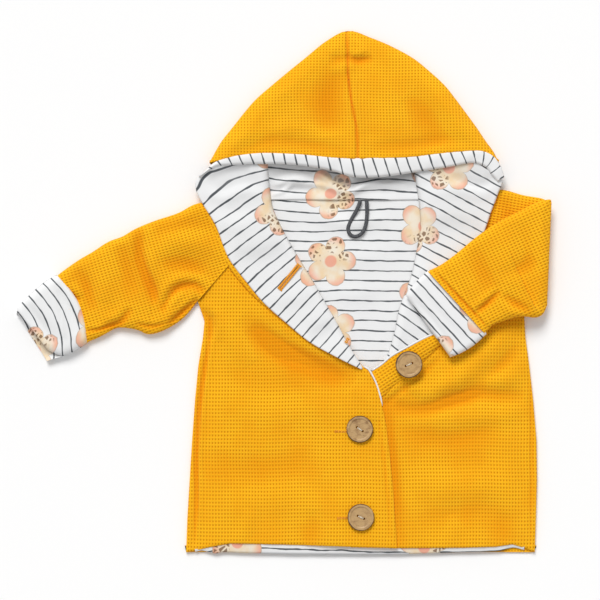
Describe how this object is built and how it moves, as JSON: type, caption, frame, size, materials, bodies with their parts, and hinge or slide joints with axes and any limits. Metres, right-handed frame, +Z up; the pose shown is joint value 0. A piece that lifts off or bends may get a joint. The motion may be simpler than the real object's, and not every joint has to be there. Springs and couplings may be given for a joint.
{
  "type": "baby waffle jacket",
  "caption": "Hooded baby jacket of waffle knit with a striped jersey lining, laid flat with its lapels turned out and one sleeve folded over the front.",
  "frame": {"origin": "on the surface that the jacket lies on, under the middle of its outline", "axes": "+X to the right as seen from above (the wearer's left), +Y from the hem towards the hood, +Z up from the surface"},
  "size_m": [0.4801, 0.468, 0.0204],
  "materials": {
    "mustard_waffle": "matt mustard-yellow waffle knit, small square cells, soft and slightly napped",
    "striped_jersey": "smooth off-white cotton jersey with thin dark pencil stripes and a scattered printed flower",
    "coconut_shell": "polished coconut shell, tan face with a dark brown bark edge",
    "grey_cord": "dark grey braided cord"
  },
  "bodies": {
    "root": {"back": "mustard_waffle", "front_right": "mustard_waffle", "front_left": "mustard_waffle", "turned_front_right": "mustard_waffle", "turned_front_left": "mustard_waffle", "edge_roll_left": "mustard_waffle", "hood_right": "mustard_waffle", "hood_left": "mustard_waffle", "sleeve_right": "mustard_waffle", "upper_arm_left": "mustard_waffle", "sleeve_left": "mustard_waffle", "back_lining": "striped_jersey", "lapel_right": "striped_jersey", "lapel_left": "striped_jersey", "hood_lining": "striped_jersey", "hood_band": "striped_jersey", "cuff_right": "striped_jersey", "cuff_left": "striped_jersey", "button_top": "coconut_shell", "button_middle": "coconut_shell", "button_low": "coconut_shell", "hanging_loop": "grey_cord"}
  },
  "joints": []
}
